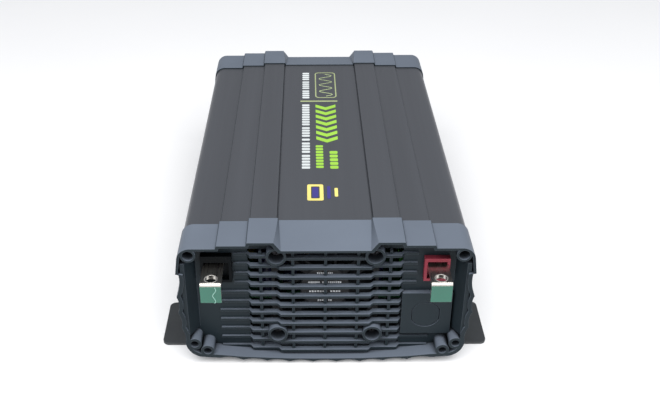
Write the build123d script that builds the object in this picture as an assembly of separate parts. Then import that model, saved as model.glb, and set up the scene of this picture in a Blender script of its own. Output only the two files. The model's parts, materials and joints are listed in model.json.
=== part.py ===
from build123d import *
import math
import os

# Power inverter, 12 V DC in at the -Y end, mains out at the +Y end.
# Millimetres. +Z is up, +X is to the right seen from the DC end. The origin is the centre of
# the four mounting holes, on the surface that the mounting plates stand on.

# Casing
HALF_LENGTH = 180.0
CAP_DEPTH = 33.0
BODY_HALF = HALF_LENGTH - CAP_DEPTH
SKIRT_X = 108.5
SKIRT_Z = 85.0
SHOULDER_X = 105.6
SHOULDER_R = 10.0
CENTRE_Z = 110.4
CENTRE_RIM_Z = 105.0
PEAK_Z = 112.1
STEP_Z = 109.5
SIDE_Z = 107.0
CENTRE_X = 34.2
CENTRE_RISE = 0.6
PEAK_X = 56.6
STEP_X = 78.3
CAP_WALL = 3.0
RIM_WALL = 1.8
COVER_INSET = 1.0
COVER_WALL = 2.5
COVER_GROOVE = (0.7, 0.9)

# Fluted lower outline: ridge tips, and how deep the hollows between them are
SIDE_START = (106.2, 84.4)
SIDE_RIDGES = [(109.2, 64.5), (108.9, 50.0), (107.6, 35.5), (105.6, 21.5)]
CORNER_MID = (102.6, 12.2)
CORNER_END = (95.0, 7.2)
BOTTOM_RIDGES = [(80.4, 6.0), (62.8, 4.0), (44.3, 3.0), (27.0, 2.2), (9.0, 2.0)]
SIDE_FLUTE = 1.3
BOTTOM_FLUTE = 1.75

# Heatsink inside
FLOOR_Z = 9.0
WALL_X = 101.0
TONGUE = (102.3, 104.0)
TONGUE_TOP = 90.0

# End faces
FACE_Y = 167.0
FACE_WALL = 3.0
FACE_BACK = FACE_Y - FACE_WALL
UPPER_SCREWS = [(98.5, 101.0)]
LOWER_SCREWS = [(99.0, 19.5), (89.5, 12.8)]
BOSS_FLOOR = 160.0
SCREW_END = 128.0
COVER_PORT_R = 3.5
SCREW_R = 2.0
SCREW_HOLE_R = 2.2
SMALL_SCREW_R = 1.5
# Radii for a cap screw: boss, hole for the head, hole for the shank, head, shank
UPPER_RADII = (5.5, 4.0, SCREW_HOLE_R, 3.5, SCREW_R)
LOWER_RADII = (5.2, 3.1, 1.7, 2.8, SMALL_SCREW_R)

# Grille on the DC end
SLAT_FIRST_Z = 8.7
SLAT_PITCH = 8.6
SLAT_COUNT = 11
SLAT_HEIGHT = 2.0
SLAT_DEPTH = 4.5
SLAT_FRONT = [(57.5, 168.7), (55.0, 172.3), (35.8, 172.3), (33.3, 175.2)]
RIBS = [(0.0, 173.2), (23.8, 173.2), (47.6, 170.5)]
RIB_WIDTH = 2.0
WINDOW_X = 57.0
WINDOW_Z = (8.0, 98.5)
PANEL = (57.5, 95.0, 22.5, 60.5)
PANEL_Y = 171.0
LEFT_LOW_X = -79.0
LEFT_HIGH_X = -67.5
RIGHT_HIGH_X = 67.5
LEFT_SPLIT_Z = 66.0
PORT_XZ = (75.8, 40.4)
PORT_R = 11.0
PORT_HALF = 10.0
PORT_GAP = 0.6

# DC terminals
TERMINAL_X = 82.0
BAR_WIDTH = 15.0
BAR_THICK = 3.0
BAR_TOP = 87.0
BAR_FRONT = 194.5
BAR_BACK = 112.0
LEG_BOTTOM = 70.8
BOLT_HOLE_R = 4.2
BOLT_HOLE_Y = 188.0
BEND_R = 2.2
NECK_Z = (78.0, 91.0)
FIT = 0.1
FILM_THICK = 0.3
FRAME_RISE = 5.0
FRAME_WALL = 2.2
POCKET_TOP = 89.5

# Mounting plates
PLATE_HALF_X = 128.0
PLATE_FRONT = 158.0
PLATE_BACK = 106.0
PLATE_THICK = 2.0
PLATE_CORNER_R = 5.0
MOUNT_X = 115.0
MOUNT_Y = 120.0
MOUNT_HOLE_R = 2.75
PLATE_SCREW_X = 27.0
PLATE_SCREW_Y = (114.0, 138.0)
PLATE_SCREW_TOP = 7.5

# 80 mm fan
FAN_Z = 61.1
FAN_SIZE = 80.0
FAN_DEPTH = 25.0
FAN_PITCH = 71.5
FAN_FRONT = FACE_BACK
FAN_BACK = FAN_FRONT - FAN_DEPTH
FAN_BORE_R = 38.3
BLADE_R = 37.0
HUB_R = 19.0
BLADES = 7
SHAFT_R = 1.5
SHAFT_FIT = 0.05
FAN_BOSS_R = 7.35
FAN_BOSS_HOLE_R = 5.65
FAN_BOSS_FRONT = 176.0
FAN_BOSS_FLOOR = FACE_BACK + 2

# Circuit board and what stands on it
BOARD_Z = 28.0
BOARD_THICK = 1.6
BOARD_TOP = BOARD_Z + BOARD_THICK
BOARD_HALF_X = 99.0
BOARD_HALF_Y = 134.0
STANDOFFS = [(x, y) for x in (-70.0, 70.0) for y in (-125.0, 0.0, 125.0)]

# Mains end
OUTLET_XS = (-50.0, 6.0)
OUTLET_Z = 60.0
OUTLET_FACE = 38.0
OUTLET_BODY = 33.0
OUTLET_BACK = 140.0
OUTLET_FRONT = FACE_Y + 2
SWITCH_XZ = (62.0, 56.0)
SWITCH_FACE = (15.0, 21.0)
SWITCH_BODY = (12.8, 18.8)
SWITCH_PIVOT_Y = FACE_Y + 0.1
SWITCH_TILT = 12.0
LIGHT_XS = (57.0, 67.0)
LIGHT_Z = 84.0
LIGHT_R = 2.4
STUD_XZ = (76.0, 24.0)
STUD_R = 3.0
STUD_TIP_R = 2.5
NUT_HEIGHT = 3.5


# ---- Small helpers ----

def box(x0, x1, y0, y1, z0, z1):
    """A block between two corners."""
    centre = Pos((x0 + x1) / 2, (y0 + y1) / 2, (z0 + z1) / 2)
    return centre * Box(x1 - x0, y1 - y0, z1 - z0)


def rod_x(y, z, r, x0, x1):
    """A round bar along X."""
    return Pos((x0 + x1) / 2, y, z) * Rot(0, 90, 0) * Cylinder(r, x1 - x0)


def rod_y(x, z, r, y0, y1):
    """A round bar along Y."""
    return Pos(x, (y0 + y1) / 2, z) * Rot(90, 0, 0) * Cylinder(r, y1 - y0)


def rod_z(x, y, r, z0, z1):
    """A round bar along Z."""
    return Pos(x, y, (z0 + z1) / 2) * Cylinder(r, z1 - z0)


def along_y(section, y0, y1):
    """A section drawn as (x, z), extruded from y0 to y1."""
    placed = Plane((0, y0, 0), x_dir=(1, 0, 0), z_dir=(0, -1, 0)) * section
    return extrude(placed, amount=y1 - y0, dir=(0, 1, 0))


def both_sides(points):
    """Points given for +X, with their mirror images."""
    return [(side * x, z) for side in (-1, 1) for x, z in points]


def group(solids):
    """Separate solids that share one node."""
    return Compound(children=list(solids))


def fuse(first, others):
    """One solid out of pieces that touch."""
    for other in others:
        first = first + other
    return first


def cut(first, others):
    """A solid less each of the others."""
    for other in others:
        first = first - other
    return first


# ---- Casing outline ----

def top_points(inset, groove=(0.0, 0.0)):
    """Stepped top from the centre line to the skirt, moved inwards by inset."""
    foot = CENTRE_X + inset
    width, depth = groove
    line = [
        (foot - width, CENTRE_Z - inset),
        (foot - width, CENTRE_Z - inset - depth),
        (foot, CENTRE_Z - inset - depth),
    ]
    return (line if depth else [(foot, CENTRE_Z - inset)]) + [
        (foot + CENTRE_RISE, PEAK_Z - inset),
        (PEAK_X - 0.5 - inset, PEAK_Z - inset),
        (PEAK_X + 0.5 - inset, STEP_Z - inset),
        (STEP_X - 0.5 - inset, STEP_Z - inset),
        (STEP_X + 0.5 - inset, SIDE_Z - inset),
        (SHOULDER_X - inset, SIDE_Z - inset),
        (SKIRT_X - inset, SKIRT_Z),
    ]


def top_line(inset, groove=(0.0, 0.0)):
    """The whole stepped top, from the left skirt to the right skirt."""
    right = top_points(inset, groove)
    left = [(-x, z) for x, z in reversed(right)]
    return Polyline(*(left + right))


def flute(start, end, depth):
    """A hollow between two ridge tips, bowed towards the middle of the casing."""
    dx = end[0] - start[0]
    dz = end[1] - start[1]
    length = math.hypot(dx, dz)
    middle = ((start[0] + end[0]) / 2 + depth * dz / length,
              (start[1] + end[1]) / 2 - depth * dx / length)
    return ThreePointArc(start, middle, end)


def lower_edges(inset):
    """Fluted sides and bottom, from right to left. Inside, the bottom is plain."""
    side = [(x - inset, z) for x, z in [SIDE_START] + SIDE_RIDGES]
    bottom = [(x, z + inset) for x, z in BOTTOM_RIDGES]
    corner_mid = (CORNER_MID[0] - 0.8 * inset, CORNER_MID[1] + 0.6 * inset)
    corner_end = (CORNER_END[0] - 0.4 * inset, CORNER_END[1] + inset)
    half = [flute(a, b, SIDE_FLUTE) for a, b in zip(side, side[1:])]
    half += [ThreePointArc(side[-1], corner_mid, corner_end), Line(corner_end, bottom[0])]
    last = bottom[-1]
    opposite = (-last[0], last[1])
    if inset:
        half += [Line(a, b) for a, b in zip(bottom, bottom[1:])]
        middle = Line(last, opposite)
    else:
        half += [flute(a, b, BOTTOM_FLUTE) for a, b in zip(bottom, bottom[1:])]
        middle = flute(last, opposite, BOTTOM_FLUTE)
    return half + [middle] + [mirror(edge, about=Plane.YZ) for edge in half]


def round_shoulders(section, inset):
    """Rounds the two upper corners of a section."""
    corners = section.vertices().filter_by(
        lambda v: abs(abs(v.X) - SHOULDER_X + inset) < 0.01 and abs(v.Y - SIDE_Z + inset) < 0.01)
    return fillet(corners, SHOULDER_R - inset)


def cap_section(inset):
    """The full outline of an end cap."""
    skirt = (SKIRT_X - inset, SKIRT_Z)
    start = (SIDE_START[0] - inset, SIDE_START[1])
    edges = [top_line(inset), Line(skirt, start)] + lower_edges(inset)
    edges.append(Line((-start[0], start[1]), (-skirt[0], skirt[1])))
    return round_shoulders(Sketch() + make_face(edges), inset)


def centre_slope(drop):
    """What is cut away above the middle of a cap, where its top slopes down to the rim."""
    def section(y, half, z, lean):
        top = PEAK_Z + 3
        spread = half + lean * (top - z)
        line = Polyline((-half, -y, z), (half, -y, z), (spread, -y, top), (-spread, -y, top), close=True)
        return make_face(line)

    rim = section(HALF_LENGTH + 1, CENTRE_X - 2.2 + drop, CENTRE_RIM_Z - drop, 0.75)
    inner = section(BODY_HALF - 1, CENTRE_X + drop, CENTRE_Z - drop, 0.35)
    return loft([rim, inner], ruled=True)


# ---- Casing ----

def heatsink_base():
    """Fluted extrusion: floor, side walls, screw ports and the tongues that locate the cover."""
    start = SIDE_START
    rise = (start[0], SKIRT_Z)
    edges = [Line((-rise[0], rise[1]), rise), Line(rise, start)] + lower_edges(0)
    edges.append(Line((-start[0], start[1]), (-rise[0], rise[1])))
    outside = along_y(make_face(edges), -BODY_HALF, BODY_HALF)
    half = [(WALL_X, SKIRT_Z + 1), (WALL_X, 27.0), (92.0, 20.5), (82.0, 18.0), (78.0, FLOOR_Z)]
    cavity = Polyline(*(half + [(-x, z) for x, z in reversed(half)]), close=True)
    body = outside - along_y(make_face(cavity), -BODY_HALF, BODY_HALF)
    for side in (-1, 1):
        edge = sorted((side * TONGUE[0], side * TONGUE[1]))
        body += box(edge[0], edge[1], -BODY_HALF, BODY_HALF, SKIRT_Z - 1, TONGUE_TOP)
    ports = [rod_y(x, z, SMALL_SCREW_R, -BODY_HALF, BODY_HALF) for x, z in both_sides(LOWER_SCREWS)]
    return cut(body, ports + plate_screw_shanks() + clamp_screw_shanks() + standoff_screw_shanks())


def top_cover():
    """Stepped extrusion that closes the top and hangs down each side as a skirt."""
    def section(inset, groove=(0.0, 0.0)):
        skirt = SKIRT_X - inset
        line = top_line(inset, groove)
        face = make_face([line, Line((skirt, SKIRT_Z), (-skirt, SKIRT_Z))])
        return round_shoulders(Sketch() + face, inset)

    inner = COVER_INSET + COVER_WALL
    shell = along_y(section(COVER_INSET, COVER_GROOVE), -BODY_HALF, BODY_HALF)
    shell -= along_y(section(inner), -BODY_HALF, BODY_HALF)
    ports = both_sides(UPPER_SCREWS)
    for x, z in ports:
        shell += rod_y(x, z, COVER_PORT_R, -BODY_HALF, BODY_HALF)
    return cut(shell, [rod_y(x, z, SCREW_R, -BODY_HALF, BODY_HALF) for x, z in ports])


def cap_outside():
    """The solid outside shape of an end cap, at the DC end."""
    return along_y(cap_section(0), -HALF_LENGTH, -BODY_HALF) - centre_slope(0)


def corner_screws():
    """Place and radii of the six screws that hold a cap."""
    upper = [(x, z, UPPER_RADII) for x, z in both_sides(UPPER_SCREWS)]
    return upper + [(x, z, LOWER_RADII) for x, z in both_sides(LOWER_SCREWS)]


def cap_shell():
    """Band, rim, face plate and screw bosses that both end caps share, at the DC end."""
    outside = cap_outside()
    thin = along_y(cap_section(RIM_WALL), -HALF_LENGTH, -FACE_Y) - centre_slope(RIM_WALL)
    thin &= box(-SKIRT_X, SKIRT_X, -HALF_LENGTH, -FACE_Y, SKIRT_Z, PEAK_Z)
    recess = along_y(cap_section(CAP_WALL), -HALF_LENGTH, -FACE_Y) - centre_slope(CAP_WALL)
    inside = along_y(cap_section(CAP_WALL), -FACE_BACK, -BODY_HALF) - centre_slope(CAP_WALL)
    shell = cut(outside, [recess, thin, inside])
    for side in (-1, 1):
        shell += side_slope(side) & outside
    for x, z, radii in corner_screws():
        shell += rod_y(x, z, radii[0], -HALF_LENGTH, -BODY_HALF) & outside
    for x, z, radii in corner_screws():
        shell -= rod_y(x, z, radii[1], -HALF_LENGTH, -BOSS_FLOOR)
        shell -= rod_y(x, z, radii[2], -BOSS_FLOOR, -BODY_HALF)
    return shell


def side_slope(side):
    """The sloping web between the rim and the face, on one side."""
    rim, inner = side * 105, side * 95.5
    line = Polyline((rim, 1.5 - HALF_LENGTH), (side * 102, 1.5 - HALF_LENGTH), (inner, -FACE_Y),
                    (inner, -FACE_BACK), (rim, -FACE_BACK), close=True)
    return Pos(0, 0, 27) * extrude(make_face(line), amount=66, dir=(0, 0, 1))


def grille_window():
    """The opening in the DC face that the slats cross."""
    return box(-WINDOW_X, WINDOW_X, -HALF_LENGTH, -FACE_BACK, *WINDOW_Z)


def slat_ends(z):
    """How far a slat at height z runs to the left and to the right, over the plain outer face."""
    left = LEFT_LOW_X if z < LEFT_SPLIT_Z else LEFT_HIGH_X
    if z < PANEL[2]:
        right = -LEFT_LOW_X
    elif z < PANEL[3]:
        right = PANEL[0] + 1
    else:
        right = RIGHT_HIGH_X
    return left, right


def slat(z):
    """One bar of the grille, which steps forward twice towards the middle."""
    left, right = slat_ends(z)
    outer_y = SLAT_FRONT[0][1]
    front = [(left, -outer_y)] + [(-x, -y) for x, y in SLAT_FRONT]
    front += [(x, -y) for x, y in reversed(SLAT_FRONT)] + [(right, -outer_y)]
    back = [(x, y + SLAT_DEPTH) for x, y in reversed(front[1:-1])]
    back = [(right, -FACE_Y)] + back + [(left, -FACE_Y)]
    bar = extrude(make_face(Polyline(*(front + back), close=True)), amount=SLAT_HEIGHT, dir=(0, 0, 1))
    return Pos(0, 0, z - SLAT_HEIGHT / 2) * bar


def grille_ribs():
    """Upright bars behind the slats."""
    places = sorted({(side * x, y) for x, y in RIBS for side in (-1, 1)})
    half = RIB_WIDTH / 2
    return [box(x - half, x + half, -y, 1 - FACE_Y, *WINDOW_Z) for x, y in places]


def fan_screw_places():
    """The four corners of the fan's screw pattern."""
    half = FAN_PITCH / 2
    return [(x, FAN_Z + z) for x in (-half, half) for z in (-half, half)]


def port_outline(gap):
    """Round opening with two flat sides."""
    shape = Circle(PORT_R + gap) & Rectangle(2 * (PORT_HALF + gap), 3 * PORT_R)
    return Pos(*PORT_XZ) * shape


def front_end_cap():
    """Cap of the DC end: grille, fan bosses, blank panel and the holes for the terminals."""
    outside = cap_outside()
    cap = cap_shell() - grille_window()
    slats = [slat(SLAT_FIRST_Z + SLAT_PITCH * i) for i in range(SLAT_COUNT)]
    bosses = [rod_y(x, z, FAN_BOSS_R, -FAN_BOSS_FRONT, -FACE_BACK) & outside
              for x, z in fan_screw_places()]
    panel = box(PANEL[0], PANEL[1], -PANEL_Y, -FACE_BACK, PANEL[2], PANEL[3])
    cap = fuse(cap, slats + grille_ribs() + bosses + [panel])
    heads = [rod_y(x, z, FAN_BOSS_HOLE_R, -HALF_LENGTH, -FAN_BOSS_FLOOR) for x, z in fan_screw_places()]
    shanks = [rod_y(x, z, SCREW_HOLE_R, -FAN_BOSS_FLOOR, -FACE_BACK) for x, z in fan_screw_places()]
    port = along_y(port_outline(PORT_GAP), -PANEL_Y, -FACE_BACK)
    slots = [sleeve(side, 0.0, FACE_Y, FACE_BACK) for side in (-1, 1)]
    return cut(cap, heads + shanks + [port] + slots)


def rear_end_cap():
    """Cap of the mains end: vents, and holes for the outlets, switch, lights and ground stud."""
    cap = mirror(cap_shell(), about=Plane.XZ)
    half = OUTLET_BODY / 2 + FIT
    holes = [box(x - half, x + half, FACE_BACK, FACE_Y, OUTLET_Z - half, OUTLET_Z + half) for x in OUTLET_XS]
    sx, sz = SWITCH_XZ
    wide, tall = SWITCH_BODY[0] / 2 + FIT, SWITCH_BODY[1] / 2 + FIT
    holes.append(box(sx - wide, sx + wide, FACE_BACK, FACE_Y, sz - tall, sz + tall))
    holes += [rod_y(x, LIGHT_Z, LIGHT_R + FIT, FACE_BACK, FACE_Y) for x in LIGHT_XS]
    holes.append(rod_y(STUD_XZ[0], STUD_XZ[1], STUD_R + FIT, FACE_BACK, FACE_Y))
    for i in range(18):
        x = -76 + 8 * i
        holes.append(box(x - 1.75, x + 1.75, FACE_BACK, FACE_Y, 13, 35))
    for i in range(15):
        x = -76 + 8 * i
        holes.append(box(x - 1.75, x + 1.75, FACE_BACK, FACE_Y, 84, 98))
    return cut(cap, holes)


def port_blank():
    """Plug in the unused cable port."""
    plug = along_y(port_outline(0), -PANEL_Y + 0.2, -FACE_BACK)
    lip = along_y(port_outline(1.5), -FACE_BACK, -FACE_BACK + 1.2)
    return plug + lip


# ---- Screws ----

def cross(width, depth):
    """Cross slot cutter, pointing down from z = 0."""
    slot = box(-width / 2, width / 2, -0.5, 0.5, -depth, 0)
    return slot + Rot(0, 0, 90) * slot


def pan_screw(head_r, head_h, shank_r, length):
    """A pan head screw standing on z = 0, head up, shank down."""
    head = rod_z(0, 0, head_r, 0, head_h)
    head = fillet(head.edges().group_by(Axis.Z)[-1], head_h * 0.45)
    return head - Pos(0, 0, head_h) * cross(head_r * 1.2, head_h * 0.55) + rod_z(0, 0, shank_r, -length, 0)


def cap_screws(end):
    """Six screws through one end cap into the extrusions; end is -1 at the DC end."""
    turn = Rot(90, 0, 0) if end < 0 else Rot(-90, 0, 0)
    length = BOSS_FLOOR - SCREW_END
    return group(Pos(x, end * BOSS_FLOOR, z) * turn * pan_screw(radii[3], 2.4, radii[4], length)
                 for x, z, radii in corner_screws())


def fan_screws():
    """Four screws that hold the fan against the grille."""
    return group(Pos(x, -FAN_BOSS_FLOOR, z) * Rot(90, 0, 0) * pan_screw(4.0, 2.4, SCREW_R, 25)
                 for x, z in fan_screw_places())


# ---- DC terminals ----

def sleeve(side, gap, front, back):
    """Rectangular neck of an insulator, which passes through the face."""
    x = side * TERMINAL_X
    return box(x - 8.5 - gap, x + 8.5 + gap, -front, -back, NECK_Z[0] - gap, NECK_Z[1] + gap)


def terminal(side):
    """L-shaped bar with a bolt hole, bent down at its outer end."""
    half = BAR_WIDTH / 2
    bar = box(-half, half, -BAR_FRONT, -BAR_BACK, BAR_TOP - BAR_THICK, BAR_TOP)
    leg = box(-half, half, -BAR_FRONT, -BAR_FRONT + BAR_THICK, LEG_BOTTOM, BAR_TOP)
    shape = bar + leg
    bend = shape.edges().filter_by(Axis.X).sort_by(lambda e: e.center().Z - e.center().Y)[-1]
    shape = fillet(bend, BEND_R)
    shape -= rod_z(0, -BOLT_HOLE_Y, BOLT_HOLE_R, BAR_TOP - BAR_THICK, BAR_TOP)
    shape -= rod_z(0, -BAR_BACK - 8, 2.6, BAR_TOP - BAR_THICK, BAR_TOP)
    return Pos(side * TERMINAL_X, 0, 0) * shape


def insulator(side, x0, x1, z0, z1):
    """Moulded surround of a terminal: a raised frame on the face and a neck through it."""
    x = side * TERMINAL_X
    half = BAR_WIDTH / 2 + FIT
    front = FACE_Y + FRAME_RISE
    body = box(x0, x1, -front, -FACE_Y, z0, z1)
    body -= box(x0 + FRAME_WALL, x1 - FRAME_WALL, -front, -FACE_Y - 0.6, z0 + FRAME_WALL, POCKET_TOP)
    body += sleeve(side, 0.0, FACE_Y, 152)
    return body - box(x - half, x + half, -front, -152, BAR_TOP - BAR_THICK - FIT, BAR_TOP + FIT)


def terminal_films():
    """Thin protective film on the front of each terminal."""
    half = BAR_WIDTH / 2
    y = -BAR_FRONT
    return group(box(side * TERMINAL_X - half, side * TERMINAL_X + half, y - FILM_THICK, y,
                     LEG_BOTTOM, BAR_TOP - BEND_R - 0.1) for side in (-1, 1))


def busbar(side):
    """Bent strip from a terminal down to the circuit board."""
    x = side * TERMINAL_X
    low = BAR_TOP - BAR_THICK
    strip = box(x - 6, x + 6, -BAR_BACK - 16, -BAR_BACK, low - 3, low)
    strip += box(x - 6, x + 6, -BAR_BACK - 3, -BAR_BACK, BOARD_TOP, low)
    return strip - rod_z(x, -BAR_BACK - 8, 2.6, low - 3, low)


def busbar_bolts():
    """Bolt and nut that join each terminal to its busbar."""
    low = BAR_TOP - BAR_THICK - 3
    pieces = []
    for side in (-1, 1):
        place = Pos(side * TERMINAL_X, -BAR_BACK - 8, 0)
        pieces.append(place * (Pos(0, 0, BAR_TOP) * pan_screw(4.5, 2.8, 2.5, 14)))
        nut = extrude(RegularPolygon(4.6, 6), amount=-3.5) - rod_z(0, 0, 2.5, -4, 0)
        pieces.append(place * Pos(0, 0, low) * nut)
    return group(pieces)


# ---- Mounting plates ----

def mounting_plate(end):
    """Flat plate across the underside, with two holes outside the casing."""
    shape = Rectangle(2 * PLATE_HALF_X, PLATE_FRONT - PLATE_BACK)
    shape = fillet(shape.vertices(), PLATE_CORNER_R)
    plate = Pos(0, end * (PLATE_FRONT + PLATE_BACK) / 2, 0) * extrude(shape, amount=PLATE_THICK)
    for side in (-1, 1):
        plate -= rod_z(side * MOUNT_X, end * MOUNT_Y, MOUNT_HOLE_R, 0, PLATE_THICK)
        for y in PLATE_SCREW_Y:
            plate -= plate_screw(side * PLATE_SCREW_X, end * y)
    return plate


def plate_screw(x, y):
    """Countersunk screw from below, its head flush with the underside."""
    head = Cone(4.0, SCREW_R, PLATE_THICK, align=(Align.CENTER, Align.CENTER, Align.MIN))
    return Pos(x, y, 0) * (head + rod_z(0, 0, SCREW_R, PLATE_THICK, PLATE_SCREW_TOP))


def plate_screw_places():
    """Centres of the eight screws that hold the two plates."""
    return [(x, end * y) for x in (-PLATE_SCREW_X, PLATE_SCREW_X) for end in (-1, 1) for y in PLATE_SCREW_Y]


def plate_screw_shanks():
    """Threaded holes for the plate screws."""
    return [rod_z(x, y, SCREW_R, 0, PLATE_SCREW_TOP) for x, y in plate_screw_places()]


def mounting_plate_screws():
    """The eight countersunk screws, each with a cross slot."""
    return group(plate_screw(x, y) - Pos(x, y, 0) * Rot(180, 0, 0) * cross(4.5, 1.0)
                 for x, y in plate_screw_places())


# ---- Fan ----

def fan_frame():
    """Square fan frame with the motor mount and its bearing tube on four struts."""
    half = FAN_SIZE / 2
    y0 = -FAN_FRONT
    y1 = -FAN_BACK
    block = box(-half, half, y0, y1, FAN_Z - half, FAN_Z + half)
    block = fillet(block.edges().filter_by(Axis.Y), 3.5) - rod_y(0, FAN_Z, FAN_BORE_R, y0, y1)
    ring = rod_y(0, FAN_Z, half + 4, y0 + 4, y1 - 4) - rod_y(0, FAN_Z, FAN_BORE_R + 2, y0 + 4, y1 - 4)
    for x, z in fan_screw_places():
        block -= box(x - 9, x + 9, y0 + 4, y1 - 4, z - 9, z + 9) & ring
    for angle in (45, 135):
        bar = Pos(0, y0 + 1.5, FAN_Z) * Rot(0, angle, 0) * Box(2 * FAN_BORE_R + 2, 3, 4)
        block += bar
    block += rod_y(0, FAN_Z, HUB_R, y0, y0 + 3) + rod_y(0, FAN_Z, 4, y0 + 3, y1 - 6)
    block -= rod_y(0, FAN_Z, SHAFT_R + SHAFT_FIT, y0 + 2, y1 - 6)
    return cut(block, [rod_y(x, z, SCREW_R + FIT, y0, y1) for x, z in fan_screw_places()])


def fan_coils():
    """Wound stator on the bearing tube."""
    y0 = -FAN_FRONT + 6
    core = rod_y(0, FAN_Z, 14, y0, y0 + 9)
    for i in range(4):
        core -= Pos(0, y0 + 4.5, FAN_Z) * Rot(0, 90 * i + 45, 0) * Pos(12.5, 0, 0) * Box(7, 9, 3)
    return core - rod_y(0, FAN_Z, 4, y0, y0 + 9)


def fan_rotor():
    """Hub cup, shaft and seven pitched blades."""
    y0 = -FAN_FRONT + 4
    y1 = -FAN_BACK - 1.5
    cup = rod_y(0, FAN_Z, HUB_R - 0.5, y0, y1) - rod_y(0, FAN_Z, HUB_R - 2.5, y0, y1 - 2)
    shaft = rod_y(0, FAN_Z, SHAFT_R, y0, y1 - 1)
    reach = rod_y(0, FAN_Z, BLADE_R, y0, y1) - rod_y(0, FAN_Z, HUB_R - 1.5, y0, y1)
    rotor = cup + shaft
    for i in range(BLADES):
        blade = Pos(0, 0, (HUB_R + BLADE_R) / 2) * Rot(0, 0, 38) * Box(1.4, 30, BLADE_R - HUB_R + 6)
        placed = Pos(0, (y0 + y1) / 2, FAN_Z) * Rot(0, 360 / BLADES * i, 0) * blade
        rotor += placed & reach
    return rotor


def fan_label():
    """Round label on the motor mount, facing the grille."""
    return rod_y(0, FAN_Z, HUB_R - 1, -FAN_FRONT - 0.2, -FAN_FRONT)


# ---- Electronics ----

def main_board():
    """Main circuit board on its standoffs."""
    board = box(-BOARD_HALF_X, BOARD_HALF_X, -BOARD_HALF_Y, BOARD_HALF_Y, BOARD_Z, BOARD_TOP)
    return cut(board, [rod_z(x, y, 1.6, BOARD_Z, BOARD_TOP) for x, y in STANDOFFS])


def standoff_screw_shanks():
    """Threaded holes in the floor for the standoff studs."""
    return [rod_z(x, y, 1.5, FLOOR_Z - 3, FLOOR_Z) for x, y in STANDOFFS]


def board_standoffs():
    """Hexagon standoffs with a stud into the heatsink floor."""
    pillar = Pos(0, 0, FLOOR_Z) * extrude(RegularPolygon(4, 6), amount=BOARD_Z - FLOOR_Z)
    pillar += rod_z(0, 0, 1.5, FLOOR_Z - 3, FLOOR_Z)
    pillar -= rod_z(0, 0, 1.5, BOARD_Z - 8, BOARD_Z)
    return group(Pos(x, y, 0) * pillar for x, y in STANDOFFS)


def board_screws():
    """Screws that hold the board on its standoffs."""
    return group(Pos(x, y, BOARD_TOP) * pan_screw(3.0, 2.0, 1.5, 7) for x, y in STANDOFFS)


TRANSFORMERS = [(-38.0, -62.0), (24.0, -62.0)]


def transformer_core():
    """Ferrite core made of two facing E shapes, standing on its bobbin."""
    core = box(-27.5, 27.5, -10.5, 10.5, 4, 50)
    window = box(-18.5, -9, -10.5, 10.5, 13, 41)
    return core - window - mirror(window, about=Plane.YZ)


def transformer_winding():
    """Taped winding round the middle limb, with a bobbin foot."""
    coil = fillet(box(-18, 18, -20, 20, 14, 40).edges().filter_by(Axis.Z), 6)
    coil -= box(-9, 9, -10.5, 10.5, 14, 40)
    foot = box(-26, 26, -16, 16, 0, 4)
    post = box(-16, 16, 11, 18, 4, 14)
    return coil + foot + post + mirror(post, about=Plane.XZ)


def on_board(places, shape):
    """The same piece standing at several places on the board."""
    return group(Pos(x, y, BOARD_TOP) * shape for x, y in places)


def round_capacitor(r, height):
    """Electrolytic capacitor: can with a rolled neck and a scored top."""
    can = rod_z(0, 0, r, 0, height)
    can = fillet(can.edges().group_by(Axis.Z)[-1], 1.0)
    neck = rod_z(0, 0, r + 1, 3, 4.2) - rod_z(0, 0, r - 0.6, 3, 4.2)
    return can - neck - Pos(0, 0, height) * cross(r * 1.2, 0.4)


def choke_core():
    """Ring core of the output filter."""
    ring = rod_z(0, 0, 25, 4, 20) - rod_z(0, 0, 15, 4, 20)
    return Pos(-38, 78, BOARD_TOP) * ring


def choke_winding():
    """Turns round the ring core, each a square loop, with a base moulding."""
    turns = []
    for i in range(22):
        loop = box(12.8, 27.2, -1.1, 1.1, 1.8, 22.2) - box(14.9, 25.1, -1.1, 1.1, 3.9, 20.1)
        turns.append(Pos(-38, 78, BOARD_TOP) * Rot(0, 0, 360 / 22 * i) * loop)
    return group(turns)


def choke_base():
    """Moulded seat under the choke."""
    return Pos(-38, 78, BOARD_TOP) * (rod_z(0, 0, 22, 0, 1.8) + box(-3, 3, -20, 20, 0, 1.8))


TRANSISTOR_Z = BOARD_TOP + 5
LEFT_BANK = [-95.0 + 13.0 * i for i in range(8)]
RIGHT_BANK = [5.0 + 13.0 * i for i in range(8)]
CLAMP_Z = TRANSISTOR_Z + 8
CLAMP_X = WALL_X - 4.5


def transistor(side, y):
    """Power transistor flat against the wall, its three legs in the board."""
    face = side * WALL_X
    tab = sorted((face, face - side * 1.3))
    body = sorted((face - side * 1.3, face - side * 4.5))
    legs = sorted((face - side * 2.4, face - side * 3.0))
    piece = box(tab[0], tab[1], y - 5, y + 5, TRANSISTOR_Z, TRANSISTOR_Z + 15.5)
    piece += box(body[0], body[1], y - 5, y + 5, TRANSISTOR_Z, TRANSISTOR_Z + 9.5)
    for shift in (-2.54, 0, 2.54):
        piece += box(legs[0], legs[1], y + shift - 0.5, y + shift + 0.5, BOARD_TOP, TRANSISTOR_Z)
    return piece


def clamp_screw_ys(bank):
    """A clamp screw between every second pair of transistors."""
    return [bank[i] + 6.5 for i in (0, 2, 4, 6)]


def clamp_bar(side, bank):
    """Steel bar that presses a row of transistors against the wall."""
    x = sorted((side * CLAMP_X, side * (CLAMP_X - 3)))
    bar = box(x[0], x[1], bank[0] - 6, bank[-1] + 6, CLAMP_Z - 5, CLAMP_Z + 1.5)
    return cut(bar, [rod_x(y, CLAMP_Z - 2, 1.5, x[0], x[1]) for y in clamp_screw_ys(bank)])


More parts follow.
